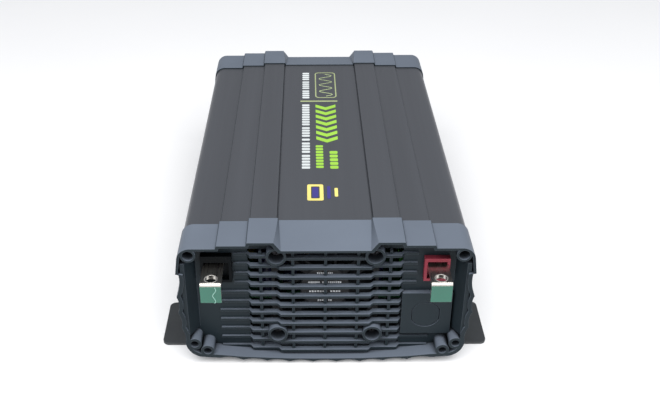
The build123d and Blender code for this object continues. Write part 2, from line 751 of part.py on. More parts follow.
def clamp_screw_shanks():
    """Threaded holes in the walls for the clamp screws."""
    left = [rod_x(y, CLAMP_Z - 2, 1.5, -WALL_X - 2, -WALL_X) for y in clamp_screw_ys(LEFT_BANK)]
    return left + [rod_x(y, CLAMP_Z - 2, 1.5, WALL_X, WALL_X + 2) for y in clamp_screw_ys(RIGHT_BANK)]


def clamp_screws():
    """Screws of both clamp bars."""
    screws = []
    for side, bank in ((-1, LEFT_BANK), (1, RIGHT_BANK)):
        for y in clamp_screw_ys(bank):
            screw = pan_screw(2.8, 2.0, 1.5, WALL_X + 2 - CLAMP_X + 3)
            screws.append(Pos(side * (CLAMP_X - 3), y, CLAMP_Z - 2) * Rot(0, -90 * side, 0) * screw)
    return group(screws)


def control_board():
    """Upright board with the control chips, soldered to the main board."""
    board = box(59.2, 60.8, -25, 62, BOARD_TOP, 74)
    chips = [box(60.8, 63, y, y + w, z, z + h)
             for y, z, w, h in ((-18, 50, 20, 9), (10, 48, 14, 14), (34, 52, 20, 8), (-10, 36, 12, 6), (36, 36, 9, 9))]
    return fuse(board, chips)


def blade_fuse():
    """Blade fuse: coloured head on two blades that stand in the board."""
    head = box(-9.5, 9.5, -2.6, 2.6, 6, 18) + box(-7, 7, -2, 2, 3, 6)
    blade = box(-7, -2, -0.35, 0.35, 0, 3)
    return head + blade + mirror(blade, about=Plane.YZ)


def film_capacitor():
    """Box-shaped film capacitor."""
    return fillet(box(-15, 15, -7, 7, 0, 24).edges(), 0.8)


def terminal_block():
    """Screw terminal block where the mains wires leave the board."""
    block = box(-64, 20, 112, 124, BOARD_TOP, BOARD_TOP + 18)
    for x in wire_xs():
        block -= rod_z(x, 118, 2.2, BOARD_TOP + 14, BOARD_TOP + 18)
    return block


def wire_xs():
    """Where the mains wires run, three for each outlet."""
    return [x + shift for x in OUTLET_XS for shift in (-8, 0, 8)]


def mains_wires():
    """Insulated wires from the terminal block to the back of each outlet."""
    wires = []
    for x in wire_xs():
        path = FilletPolyline((x, 118, BOARD_TOP + 14), (x, 118, OUTLET_Z), (x, OUTLET_BACK, OUTLET_Z), radius=8)
        start = Plane(origin=path @ 0, z_dir=path % 0)
        wires.append(sweep(start * Circle(1.7), path=path))
    return group(wires)


# ---- Mains end ----

SLOTS = [(-6.35, 4.0, 8.6), (6.35, 4.0, 7.0)]
SLOT_HALF = 1.35
SLOT_END = 148.0
EARTH = (0.0, -8.0)
EARTH_R = 2.8


def outlet(x):
    """Three-pin outlet: face, body, two blade slots and a round earth hole."""
    half_face = OUTLET_FACE / 2
    half = OUTLET_BODY / 2
    face = box(-half_face, half_face, FACE_Y, OUTLET_FRONT, -half_face, half_face)
    face = fillet(face.edges().filter_by(Axis.Y), 4)
    face = chamfer(face.faces().sort_by(Axis.Y)[-1].edges(), 0.6)
    body = face + box(-half, half, OUTLET_BACK, FACE_Y, -half, half)
    for sx, sz, tall in SLOTS:
        body -= box(sx - SLOT_HALF, sx + SLOT_HALF, SLOT_END, OUTLET_FRONT, sz - tall / 2, sz + tall / 2)
    body -= rod_y(EARTH[0], EARTH[1], EARTH_R, SLOT_END, OUTLET_FRONT)
    return Pos(x, 0, OUTLET_Z) * body


def outlet_contacts():
    """Brass clips inside the outlets that grip a plug's pins."""
    mouth = 160
    clips = []
    for x in OUTLET_XS:
        for sx, sz, tall in SLOTS:
            clip = box(-SLOT_HALF, SLOT_HALF, SLOT_END, mouth, -3, 3)
            clip -= box(0.5 - SLOT_HALF, SLOT_HALF - 0.5, SLOT_END + 1, mouth, -3, 3)
            clips.append(Pos(x + sx, 0, OUTLET_Z + sz) * clip)
        ring = rod_y(0, 0, EARTH_R, SLOT_END, mouth) - rod_y(0, 0, EARTH_R - 0.3, SLOT_END + 1, mouth)
        clips.append(Pos(x + EARTH[0], 0, OUTLET_Z + EARTH[1]) * ring)
    return group(clips)


def switch_frame():
    """Snap-in frame of the rocker switch, with holes for the rocker's pins."""
    sx, sz = SWITCH_XZ
    wide, tall = SWITCH_FACE[0] / 2, SWITCH_FACE[1] / 2
    bezel = box(-wide, wide, FACE_Y, FACE_Y + 2, -tall, tall)
    bezel = fillet(bezel.edges().filter_by(Axis.Y), 1.5)
    frame = bezel + box(-SWITCH_BODY[0] / 2, SWITCH_BODY[0] / 2, 152, FACE_Y, -SWITCH_BODY[1] / 2, SWITCH_BODY[1] / 2)
    frame -= box(-5.1, 5.1, 156, FACE_Y + 2, -8.3, 8.3)
    frame -= rod_x(SWITCH_PIVOT_Y, 0, 1.2 + SHAFT_FIT, -6.2, 6.2)
    return Pos(sx, 0, sz) * frame


def switch_rocker():
    """Rocker at rest in its off position, with the pins that it turns on."""
    back, middle, end = SWITCH_PIVOT_Y - 1.8, SWITCH_PIVOT_Y + 1.6, SWITCH_PIVOT_Y + 3.0
    shape = Polyline((0, back, -7.3), (0, end, -7.3), (0, middle, 0), (0, end, 7.3), (0, back, 7.3), close=True)
    rocker = Pos(-4.9, 0, 0) * extrude(make_face(shape), amount=9.8, dir=(1, 0, 0))
    rocker += rod_x(SWITCH_PIVOT_Y, 0, 1.2, -6.1, 6.1)
    tilt = Pos(0, SWITCH_PIVOT_Y, 0) * Rot(-SWITCH_TILT, 0, 0) * Pos(0, -SWITCH_PIVOT_Y, 0)
    return Pos(SWITCH_XZ[0], 0, SWITCH_XZ[1]) * tilt * rocker


def switch_tabs():
    """Spade terminals behind the switch."""
    sx, sz = SWITCH_XZ
    return group(box(sx - 2.4, sx + 2.4, 143, 152, sz + z - 0.4, sz + z + 0.4) for z in (-6, 0, 6))


def light(x):
    """Round indicator lens with a domed front."""
    lens = rod_y(x, LIGHT_Z, LIGHT_R, 158, FACE_Y + 1.5)
    lens = fillet(lens.edges().group_by(Axis.Y)[-1], 1.2)
    return lens + rod_y(x, LIGHT_Z, LIGHT_R + 0.6, FACE_BACK - 1.5, FACE_BACK)


def ground_stud():
    """Stud for the earth wire, held by two nuts, with a thinner free end."""
    x, z = STUD_XZ
    shoulder = FACE_Y + NUT_HEIGHT
    tip = rod_y(x, z, STUD_TIP_R, shoulder, shoulder + 6)
    tip = chamfer(tip.edges().group_by(Axis.Y)[-1], 0.5)
    return rod_y(x, z, STUD_R, 157, shoulder) + tip


def ground_nuts():
    """Hexagon nuts on both sides of the face."""
    x, z = STUD_XZ
    nut = extrude(RegularPolygon(5.5, 6), amount=NUT_HEIGHT) - rod_z(0, 0, STUD_R, 0, NUT_HEIGHT)
    placed = Rot(-90, 0, 0) * nut
    return group([Pos(x, FACE_Y, z) * placed, Pos(x, FACE_BACK - NUT_HEIGHT, z) * placed])


# ---- Parts list ----

PARTS = {
    "heatsink_base": heatsink_base(),
    "top_cover": top_cover(),
    "front_end_cap": front_end_cap(),
    "rear_end_cap": rear_end_cap(),
    "front_cap_screws": cap_screws(-1),
    "rear_cap_screws": cap_screws(1),
    "port_blank": port_blank(),
    "negative_terminal": terminal(-1),
    "positive_terminal": terminal(1),
    "negative_insulator": insulator(-1, -91.1, -68.5, 72.0, 95.0),
    "positive_insulator": insulator(1, 72.0, 90.6, 72.6, 92.4),
    "terminal_films": terminal_films(),
    "negative_busbar": busbar(-1),
    "positive_busbar": busbar(1),
    "busbar_bolts": busbar_bolts(),
    "front_mounting_plate": mounting_plate(-1),
    "rear_mounting_plate": mounting_plate(1),
    "mounting_plate_screws": mounting_plate_screws(),
    "fan_frame": fan_frame(),
    "fan_coils": fan_coils(),
    "fan_rotor": fan_rotor(),
    "fan_label": fan_label(),
    "fan_screws": fan_screws(),
    "main_board": main_board(),
    "board_standoffs": board_standoffs(),
    "board_screws": board_screws(),
    "transformer_cores": on_board(TRANSFORMERS, transformer_core()),
    "transformer_windings": on_board(TRANSFORMERS, transformer_winding()),
    "input_capacitors": on_board([(x, -118) for x in (-45, -24, -3, 18, 39)], round_capacitor(9, 36)),
    "bus_capacitors": on_board([(-38, 6), (0, 6)], round_capacitor(15, 48)),
    "choke_core": choke_core(),
    "choke_winding": choke_winding(),
    "choke_base": choke_base(),
    "driver_transistors": group(transistor(-1, y) for y in LEFT_BANK),
    "output_transistors": group(transistor(1, y) for y in RIGHT_BANK),
    "left_clamp_bar": clamp_bar(-1, LEFT_BANK),
    "right_clamp_bar": clamp_bar(1, RIGHT_BANK),
    "clamp_screws": clamp_screws(),
    "control_board": control_board(),
    "blade_fuses": on_board([(72, y) for y in (-96, -84, -72, -60)], blade_fuse()),
    "film_capacitors": on_board([(16, 62), (16, 82)], film_capacitor()),
    "terminal_block": terminal_block(),
    "mains_wires": mains_wires(),
    "left_outlet": outlet(OUTLET_XS[0]),
    "right_outlet": outlet(OUTLET_XS[1]),
    "outlet_contacts": outlet_contacts(),
    "switch_frame": switch_frame(),
    "switch_rocker": switch_rocker(),
    "switch_tabs": switch_tabs(),
    "power_light": light(LIGHT_XS[0]),
    "fault_light": light(LIGHT_XS[1]),
    "ground_stud": ground_stud(),
    "ground_nuts": ground_nuts(),
}

os.makedirs("parts", exist_ok=True)
for name, shape in PARTS.items():
    export_step(shape, f"parts/{name}.step")
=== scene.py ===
"""Power inverter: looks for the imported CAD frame. Units are metres, in the row frame."""
import json
import math

import bmesh
import bpy
from mathutils import Matrix, Vector


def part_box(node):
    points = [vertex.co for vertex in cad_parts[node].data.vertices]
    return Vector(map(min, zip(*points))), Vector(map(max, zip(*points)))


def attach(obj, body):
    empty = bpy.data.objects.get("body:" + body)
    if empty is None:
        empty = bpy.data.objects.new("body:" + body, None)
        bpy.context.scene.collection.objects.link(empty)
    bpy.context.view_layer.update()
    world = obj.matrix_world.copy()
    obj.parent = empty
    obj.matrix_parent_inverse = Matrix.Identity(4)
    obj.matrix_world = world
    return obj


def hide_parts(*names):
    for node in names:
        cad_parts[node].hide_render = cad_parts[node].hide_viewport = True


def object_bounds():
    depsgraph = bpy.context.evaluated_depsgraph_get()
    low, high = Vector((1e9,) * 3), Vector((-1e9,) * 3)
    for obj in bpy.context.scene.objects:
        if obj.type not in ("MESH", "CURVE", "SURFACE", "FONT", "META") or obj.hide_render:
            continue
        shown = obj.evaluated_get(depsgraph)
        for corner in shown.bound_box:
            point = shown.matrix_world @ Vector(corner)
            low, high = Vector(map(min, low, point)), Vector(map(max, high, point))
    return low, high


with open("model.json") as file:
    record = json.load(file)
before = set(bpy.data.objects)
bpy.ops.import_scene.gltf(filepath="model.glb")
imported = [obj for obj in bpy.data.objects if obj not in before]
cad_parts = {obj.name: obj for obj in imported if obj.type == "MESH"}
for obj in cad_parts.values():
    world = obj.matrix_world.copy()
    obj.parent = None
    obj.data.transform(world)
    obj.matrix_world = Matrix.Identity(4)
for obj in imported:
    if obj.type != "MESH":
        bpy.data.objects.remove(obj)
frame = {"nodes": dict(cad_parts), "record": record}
cad_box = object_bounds()
NODES = frame["nodes"]
MM = 0.001

# ---- Camera, from the photograph's viewpoint ----
# Place in metres, angles in degrees, lens in millimetres.

CAMERA_AT = (-0.0136, -0.6895, 0.4580)
CAMERA_DOWN = 32.01
CAMERA_ROLL = 0.27
CAMERA_LENS = 47.72
CAMERA_SHIFT_X = 0.0387


def make_camera():
    data = bpy.data.cameras.new("camera")
    data.lens = CAMERA_LENS
    data.shift_x = CAMERA_SHIFT_X
    data.clip_start = 0.01
    camera = bpy.data.objects.new("camera", data)
    camera.location = CAMERA_AT
    camera.rotation_mode = "XYZ"
    camera.rotation_euler = (math.radians(90 - CAMERA_DOWN), math.radians(CAMERA_ROLL), 0)
    bpy.context.scene.collection.objects.link(camera)
    bpy.context.scene.camera = camera


# ---- Materials ----

class Shader:
    """A new material with its node tree, and short ways to add nodes to it."""

    def __init__(self, name):
        self.material = bpy.data.materials.new(name)
        self.material.use_nodes = True
        self.tree = self.material.node_tree
        self.bsdf = self.tree.nodes["Principled BSDF"]
        coordinates = self.tree.nodes.new("ShaderNodeTexCoord")
        self.place = coordinates.outputs["Object"]
        self.normal = coordinates.outputs["Normal"]

    def node(self, kind, **values):
        made = self.tree.nodes.new("ShaderNode" + kind)
        for key, value in values.items():
            setattr(made, key, value)
        return made

    def link(self, output, socket):
        self.tree.links.new(output, socket)

    def set(self, **values):
        """Constant values on the shader's own sockets."""
        for key, value in values.items():
            self.bsdf.inputs[key.replace("_", " ")].default_value = value

    def stretched(self, scale):
        """Object coordinates scaled per axis."""
        mapping = self.node("Mapping")
        mapping.inputs["Scale"].default_value = scale
        self.link(self.place, mapping.inputs["Vector"])
        return mapping.outputs["Vector"]

    def noise(self, scale, detail=3.0, rough=0.5, stretch=(1, 1, 1)):
        made = self.node("TexNoise")
        made.inputs["Scale"].default_value = scale
        made.inputs["Detail"].default_value = detail
        made.inputs["Roughness"].default_value = rough
        self.link(self.stretched(stretch), made.inputs["Vector"])
        return made.outputs["Fac"]

    def ramp(self, factor, stops):
        """Colour ramp; stops are (position, colour)."""
        made = self.node("ValToRGB")
        elements = made.color_ramp.elements
        while len(elements) < len(stops):
            elements.new(0.5)
        for element, (position, colour) in zip(elements, stops):
            element.position = position
            element.color = (*colour, 1)
        self.link(factor, made.inputs["Fac"])
        return made.outputs["Color"]

    def span(self, factor, low, high):
        """A 0..1 factor mapped to low..high."""
        made = self.node("MapRange")
        made.inputs["To Min"].default_value = low
        made.inputs["To Max"].default_value = high
        self.link(factor, made.inputs["Value"])
        return made.outputs["Result"]

    def mix(self, factor, first, second):
        """Blends two colours, of which the second may be a constant."""
        made = self.node("Mix", data_type="RGBA")
        self.link(factor, made.inputs[0])
        self.link(first, made.inputs[6])
        if isinstance(second, tuple):
            made.inputs[7].default_value = (*second, 1)
        else:
            self.link(second, made.inputs[7])
        return made.outputs[2]

    def multiply(self, first, second):
        """Product of two colours."""
        made = self.node("Mix", data_type="RGBA", blend_type="MULTIPLY")
        made.inputs[0].default_value = 1.0
        self.link(first, made.inputs[6])
        self.link(second, made.inputs[7])
        return made.outputs[2]

    def bump(self, height, distance, strength=1.0, under=None):
        made = self.node("Bump")
        made.inputs["Distance"].default_value = distance
        made.inputs["Strength"].default_value = strength
        self.link(height, made.inputs["Height"])
        if under is not None:
            self.link(under, made.inputs["Normal"])
        return made.outputs["Normal"]

    def rounded(self, radius):
        """Normals that round the edges, and how close to an edge a point is."""
        bevel = self.node("Bevel", samples=6)
        bevel.inputs["Radius"].default_value = radius
        geometry = self.node("NewGeometry")
        dot = self.node("VectorMath", operation="DOT_PRODUCT")
        self.link(bevel.outputs["Normal"], dot.inputs[0])
        self.link(geometry.outputs["Normal"], dot.inputs[1])
        edge = self.node("MapRange")
        edge.inputs["From Min"].default_value = 0.999
        edge.inputs["From Max"].default_value = 0.90
        self.link(dot.outputs["Value"], edge.inputs["Value"])
        return bevel.outputs["Normal"], edge.outputs["Result"]

    def open_air(self, distance):
        """1 where a point is in the open, down to 0 deep in a recess."""
        made = self.node("AmbientOcclusion", samples=8)
        made.inputs["Distance"].default_value = distance
        return made.outputs["AO"]

    def upright(self, low, high):
        """1 where the normal's height is under low, as on upright faces, and 0 where it is over high."""
        split = self.node("SeparateXYZ")
        self.link(self.normal, split.inputs["Vector"])
        size = self.node("Math", operation="ABSOLUTE")
        self.link(split.outputs["Z"], size.inputs[0])
        edge = self.node("MapRange")
        edge.inputs["From Min"].default_value = high
        edge.inputs["From Max"].default_value = low
        self.link(size.outputs["Value"], edge.inputs["Value"])
        return edge.outputs["Result"]

    def finish(self, colour, roughness, normal=None):
        self.link(colour, self.bsdf.inputs["Base Color"])
        self.link(roughness, self.bsdf.inputs["Roughness"])
        if normal is not None:
            self.link(normal, self.bsdf.inputs["Normal"])
        return self.material


def shade(colour, factor):
    return tuple(channel * factor for channel in colour)


# Reach of the ambient occlusion that paints shade into recesses.
RECESS_REACH = 15 * MM
WHITE = (1.0, 1.0, 1.0)


def moulded_plastic(name, colour, grain=2200.0, roughness=0.48, shine=0.38, edge_wear_and_highlight=0.35, tone=1.6,
                    upright=None, recess=1.0):
    """Fine-textured moulded plastic with rounded edges.

    Edges are paler, partly from rubbed wear and partly as a painted highlight. Upright faces can take a
    darker colour as painted shade, and recesses can be darkened with painted shade from ambient
    occlusion.
    """
    s = Shader(name)
    normal, edge = s.rounded(0.0004)
    cloud = s.noise(14.0, detail=4.0)
    base = s.ramp(cloud, [(0.3, shade(colour, 0.93)), (0.7, shade(colour, 1.07))])
    # Painted shade: upright faces take the darker upright colour, as if they lay in shadow.
    if upright is not None:
        shaded_sides = s.ramp(cloud, [(0.3, shade(upright, 0.92)), (0.7, shade(upright, 1.08))])
        base = s.mix(s.upright(0.05, 0.6), base, shaded_sides)
    # Paler edges: partly rubbed wear, partly a painted highlight where light catches them, laid over any
    # painted shade.
    base = s.mix(s.span(edge, 0.0, edge_wear_and_highlight), base, shade(colour, tone))
    # Painted shade: colour is multiplied darker where ambient occlusion finds a recess.
    if recess < 1.0:
        painted_recess_shade = s.ramp(s.open_air(RECESS_REACH), [(0.2, shade(WHITE, recess)), (0.5, WHITE)])
        base = s.multiply(base, painted_recess_shade)
    fine = s.noise(grain, detail=2.0)
    rough = s.span(s.noise(60.0, detail=5.0), roughness - 0.07, roughness + 0.09)
    s.set(IOR=1.47, Specular_IOR_Level=shine)
    return s.finish(base, rough, s.bump(fine, 0.00005, 0.55, under=normal))


def anodised(name, colour):
    """Dark anodised extrusion: fine die lines along Y, faint handling marks, paler edges."""
    s = Shader(name)
    normal, edge = s.rounded(0.0003)
    lines = s.noise(1.0, detail=4.0, rough=0.7, stretch=(900, 5, 900))
    broad = s.noise(1.0, detail=3.0, stretch=(55, 1.5, 55))
    base = s.ramp(broad, [(0.25, shade(colour, 0.92)), (0.75, shade(colour, 1.08))])
    base = s.mix(s.span(lines, 0.0, 0.16), base, shade(colour, 1.5))
    base = s.mix(s.span(edge, 0.0, 0.5), base, shade(colour, 2.6))
    rough = s.span(s.noise(1.0, detail=5.0, stretch=(260, 9, 260)), 0.32, 0.50)
    s.set(Metallic=0.55, IOR=1.5)
    return s.finish(base, rough, s.bump(lines, 0.00003, 0.6, under=normal))


def coated_steel(name, colour):
    """Powder-coated steel with a slight orange peel and rubbed edges."""
    s = Shader(name)
    normal, edge = s.rounded(0.0003)
    base = s.ramp(s.noise(40.0), [(0.3, shade(colour, 0.9)), (0.7, shade(colour, 1.12))])
    base = s.mix(s.span(edge, 0.0, 0.4), base, shade(colour, 2.2))
    rough = s.span(s.noise(300.0), 0.42, 0.58)
    return s.finish(base, rough, s.bump(s.noise(900.0, detail=2.0), 0.00006, 0.5, under=normal))


SCRATCHED_ALONG_Y = (700, 30, 700)
SCRATCHED_EVENLY = (900, 900, 900)


def bright_metal(name, colour, roughness, scratch=SCRATCHED_ALONG_Y):
    """Plated metal with fine scratches and rounded edges."""
    s = Shader(name)
    normal, _ = s.rounded(0.0004)
    marks = s.noise(1.0, detail=5.0, rough=0.7, stretch=scratch)
    base = s.ramp(s.noise(90.0, detail=4.0), [(0.3, shade(colour, 0.86)), (0.7, colour)])
    rough = s.span(marks, roughness * 0.6, roughness * 1.7)
    s.set(Metallic=1.0)
    return s.finish(base, rough, s.bump(marks, 0.00002, 0.35, under=normal))


def glossy(name, colour, roughness, coat=0.0):
    """Smooth glossy plastic, film or ink."""
    s = Shader(name)
    base = s.ramp(s.noise(25.0), [(0.3, shade(colour, 0.88)), (0.7, shade(colour, 1.1))])
    rough = s.span(s.noise(180.0), roughness * 0.8, roughness * 1.3)
    s.set(Coat_Weight=coat)
    return s.finish(base, rough, s.bump(s.noise(400.0), 0.00003, 0.3))


def lens(name, colour):
    """Tinted translucent lens."""
    s = Shader(name)
    base = s.ramp(s.noise(500.0), [(0.3, shade(colour, 0.8)), (0.7, colour)])
    s.set(Transmission_Weight=0.35, IOR=1.49)
    return s.finish(base, s.span(s.noise(300.0), 0.08, 0.16))


def circuit_board(name, colour):
    """Solder mask with a faint grid of tracks."""
    s = Shader(name)
    tracks = s.node("TexBrick")
    tracks.inputs["Scale"].default_value = 160.0
    tracks.inputs["Color1"].default_value = (*shade(colour, 1.25), 1)
    tracks.inputs["Color2"].default_value = (*shade(colour, 0.85), 1)
    tracks.inputs["Mortar"].default_value = (*shade(colour, 0.6), 1)
    s.link(s.place, tracks.inputs["Vector"])
    base = s.mix(s.noise(30.0), tracks.outputs["Color"], colour)
    s.set(Coat_Weight=0.3)
    return s.finish(base, s.span(s.noise(200.0), 0.28, 0.42))


CAP_COLOUR = (0.127, 0.150, 0.187)
# Painted shade: the darker colour given to the cap's upright faces.
CAP_UPRIGHT_SHADE = (0.011, 0.018, 0.023)
ANODISED_COLOUR = (0.095, 0.101, 0.114)
BLACK = (0.010, 0.011, 0.013)
MATT_BLACK = (0.003, 0.004, 0.005)
RED = (0.23, 0.029, 0.047)


def cad_materials():
    """A material for each of the record's slots, and two finishes of their own."""
    return {
        "dark_anodised": anodised("dark_anodised", ANODISED_COLOUR),
        # The cap has painted shade on its upright faces and in its recesses, and edges kept pale as a painted
        # highlight.
        "cap_plastic": moulded_plastic("cap_plastic", CAP_COLOUR, shine=0.2, edge_wear_and_highlight=0.55, tone=0.9,
                                       upright=CAP_UPRIGHT_SHADE, recess=0.12),
        "black_coated_steel": coated_steel("black_coated_steel", (0.032, 0.036, 0.039)),
        "nickel": bright_metal("nickel", (0.66, 0.63, 0.58), 0.26),
        "nickel_rim": bright_metal("nickel_rim", (0.86, 0.84, 0.80), 0.5),
        "copper": bright_metal("copper", (0.75, 0.36, 0.22), 0.25),
        "zinc_steel": bright_metal("zinc_steel", (0.50, 0.50, 0.52), 0.3, SCRATCHED_EVENLY),
        # These plastics have painted shade in their recesses.
        "black_plastic": moulded_plastic("black_plastic", BLACK, shine=0.22, recess=0.1),
        "matt_black_plastic": moulded_plastic("matt_black_plastic", MATT_BLACK, shine=0.07, recess=0.1),
        "red_plastic": moulded_plastic("red_plastic", RED, roughness=0.38, shine=0.25, recess=0.12),
        "green_film": glossy("green_film", (0.017, 0.118, 0.078), 0.15, 0.3),
        "black_steel": bright_metal("black_steel", (0.06, 0.06, 0.065), 0.35, SCRATCHED_EVENLY),
        "label_film": glossy("label_film", (0.02, 0.02, 0.022), 0.3),
        "board": circuit_board("board", (0.012, 0.09, 0.035)),
        "ferrite": moulded_plastic("ferrite", (0.05, 0.05, 0.055), grain=900.0, roughness=0.6),
        "enamelled_copper": bright_metal("enamelled_copper", (0.55, 0.2, 0.07), 0.25),
        "winding_tape": glossy("winding_tape", (0.62, 0.46, 0.08), 0.3),
        "capacitor_sleeve": glossy("capacitor_sleeve", (0.02, 0.02, 0.06), 0.25, 0.3),
        "transistor_body": moulded_plastic("transistor_body", (0.02, 0.02, 0.02), roughness=0.55),
        "fuse_plastic": glossy("fuse_plastic", (0.10, 0.42, 0.07), 0.2, 0.3),
        "film_capacitor": glossy("film_capacitor", (0.60, 0.27, 0.05), 0.3),
        "wire_insulation": glossy("wire_insulation", (0.03, 0.03, 0.03), 0.35),
        "brass": bright_metal("brass", (0.72, 0.52, 0.22), 0.22),
        "green_lens": lens("green_lens", (0.08, 0.65, 0.18)),
        "red_lens": lens("red_lens", (0.75, 0.05, 0.04)),
    }


FINISH_OF_ITS_OWN = {"negative_insulator": "matt_black_plastic"}


def dress_nodes():
    """Gives every CAD node the material of its slot, or its own."""
    made = cad_materials()
    for entry in frame["record"]["subparts"]:
        node = NODES[entry["node"]]
        material = made[FINISH_OF_ITS_OWN.get(entry["node"], entry["material_slot"])]
        for slot in node.material_slots:
            slot.material = material
    return made


# ---- Mesh helpers ----

def new_piece(name, mesh, material, body="casing"):
    """Links a finished mesh and makes it ride on a body."""
    mesh.materials.append(material)
    piece = bpy.data.objects.new(name, mesh)
    bpy.context.scene.collection.objects.link(piece)
    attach(piece, body)
    return piece


def mesh_from(name, build, place=None):
    """A mesh made by a function that fills a bmesh, then moved into place."""
    bm = bmesh.new()
    build(bm)
    if place is not None:
        bm.transform(place)
    bmesh.ops.recalc_face_normals(bm, faces=bm.faces)
    mesh = bpy.data.meshes.new(name)
    bm.to_mesh(mesh)
    bm.free()
    return mesh


# The flat shapes below take millimetres and lie in the XY plane. They are as thin as a coat of ink
# unless told otherwise.
INK_LIFT = 0.03
INK_TOP = 0.12


def flat_loop(bm, outline, z):
    return [bm.verts.new((x * MM, y * MM, z * MM)) for x, y in outline]


def join_loops(bm, first, second):
    """Faces between two closed loops with the same number of vertices."""
    for i in range(len(first)):
        j = (i + 1) % len(first)
        bm.faces.new((first[i], first[j], second[j], second[i]))


def prism(bm, outline):
    """Closed flat plate with the given outline."""
    bottom = flat_loop(bm, outline, INK_LIFT)
    top = flat_loop(bm, outline, INK_TOP)
    bm.faces.new(top)
    bm.faces.new(list(reversed(bottom)))
    join_loops(bm, bottom, top)


def ring(bm, outer, inner, low=INK_LIFT, high=INK_TOP):
    """Closed flat frame between two outlines with the same number of points."""
    loops = [flat_loop(bm, outline, z) for outline, z in
             ((outer, low), (outer, high), (inner, high), (inner, low))]
    for first, second in zip(loops, loops[1:] + loops[:1]):
        join_loops(bm, first, second)


def ribbon(bm, centre, width, low=INK_LIFT, high=INK_TOP):
    """Flat line of constant width along a list of points."""
    sections = []
    for i, (x, y) in enumerate(centre):
        before = Vector(centre[max(i - 1, 0)])
        after = Vector(centre[min(i + 1, len(centre) - 1)])
        along = (after - before).normalized()
        across = Vector((-along.y, along.x)) * width / 2
        left = (x + across.x, y + across.y)
        right = (x - across.x, y - across.y)
        sections.append([flat_loop(bm, [point], z)[0] for point, z in
                         ((left, low), (left, high), (right, high), (right, low))])
    for first, second in zip(sections, sections[1:]):
        join_loops(bm, first, second)
    bm.faces.new(sections[0])
    bm.faces.new(list(reversed(sections[-1])))


def circle(radius, count=48):
    return [(radius * math.cos(2 * math.pi * i / count), radius * math.sin(2 * math.pi * i / count))
            for i in range(count)]


def rounded_rectangle(x0, x1, y0, y1, radius, steps=6):
    """Outline of a rectangle with round corners."""
    points = []
    corners = ((x1 - radius, y1 - radius, 0), (x0 + radius, y1 - radius, 90),
               (x0 + radius, y0 + radius, 180), (x1 - radius, y0 + radius, 270))
    for cx, cy, start in corners:
        for i in range(steps + 1):
            angle = math.radians(start + 90 * i / steps)
            points.append((cx + radius * math.cos(angle), cy + radius * math.sin(angle)))
    return points


# ---- Printed marks on the cover ----
# They run along the casing's length. x and y are millimetres in the row frame.

def cover_height():
    """Height of the cover's top surface over the origin."""
    _, place, _, _ = NODES["top_cover"].ray_cast(Vector((0, 0, 1.0)), Vector((0, 0, -1)))
    return place.z


def blocks(bm, x0, x1, y0, y1, words, gap, space):
    """Column of small plain blocks in groups, where the casing carries small print."""
    count = sum(words)
    width = ((y1 - y0) - gap * (count - len(words)) - space * (len(words) - 1)) / count
    y = y1
    for word in words:
        for _ in range(word):
            prism(bm, rounded_rectangle(x0, x1, y - width, y, 0.25 * width, 3))
            y -= width + gap
        y += gap - space


def frame_and_divider(bm):
    """Rounded frame round the wave, and the line under it."""
    ring(bm, rounded_rectangle(-5.0, 15.2, 68.0, 128.0, 4.0), rounded_rectangle(-3.9, 14.1, 69.2, 126.8, 3.0))
    ribbon(bm, [(-19.0, 60.6), (15.6, 60.6)], 2.4)


def sine_wave(bm):
    """The usual sign for alternating current."""
    count = 96
    line = []
    for i in range(count + 1):
        t = i / count
        line.append((5.2 + 6.0 * math.sin(2 * math.pi * 3.5 * t), 72.0 + 51.5 * t))
    ribbon(bm, line, 0.8)


def green_marks(bm):
    """Row of arrow heads that point towards the DC end, and two columns of blocks."""
    for i in range(7):
        y = 53.0 - 10.7 * i
        prism(bm, [(-5.0, y), (4.25, y - 6.0), (13.5, y),
                   (13.5, y - 5.8), (4.25, y - 11.8), (-5.0, y - 5.8)])
    blocks(bm, 5.8, 12.5, -68.8, -38.5, (5,), 1.4, 3.0)
    blocks(bm, -5.7, 0.5, -67.5, -28.0, (8,), 1.2, 3.0)


def white_blocks(bm):
    blocks(bm, -17.2, -10.6, 67.0, 127.5, (4, 4, 4), 1.3, 3.4)
    blocks(bm, -17.4, -10.6, -68.5, 53.4, (9, 4, 1, 4, 5), 1.3, 3.6)


def yellow_marks(bm):
    ring(bm, rounded_rectangle(-13.1, -0.5, -118.3, -94.0, 1.6),
         rounded_rectangle(-10.2, -3.4, -115.3, -97.0, 1.0))
    prism(bm, rounded_rectangle(8.2, 10.8, -112.6, -99.6, 1.0))


def blue_marks(bm):
    prism(bm, rounded_rectangle(-9.2, -4.4, -114.2, -98.1, 2.4))
    prism(bm, rounded_rectangle(2.4, 5.0, -115.6, -96.6, 1.0))


COVER_INKS = {
    "olive": ((0.38, 0.44, 0.22), frame_and_divider),
    "green": ((0.34, 0.64, 0.06), green_marks),
    "pale": ((0.50, 0.60, 0.30), sine_wave),
    "white": ((0.66, 0.70, 0.70), white_blocks),
    "yellow": ((0.84, 0.70, 0.20), yellow_marks),
    "blue": ((0.045, 0.035, 0.22), blue_marks),
}


def make_cover_print():
    """All printed marks on the cover, one piece for each colour."""
    place = Matrix.Translation((0, 0, cover_height()))
    for ink, (colour, build) in COVER_INKS.items():
        name = "cover_print_" + ink
        new_piece(name, mesh_from(name, build, place), glossy("ink_" + ink, colour, 0.42))


# ---- Fan label, terminal films and switch marks ----

TO_FACE_DC_END = Matrix.Rotation(math.radians(90), 4, "X")

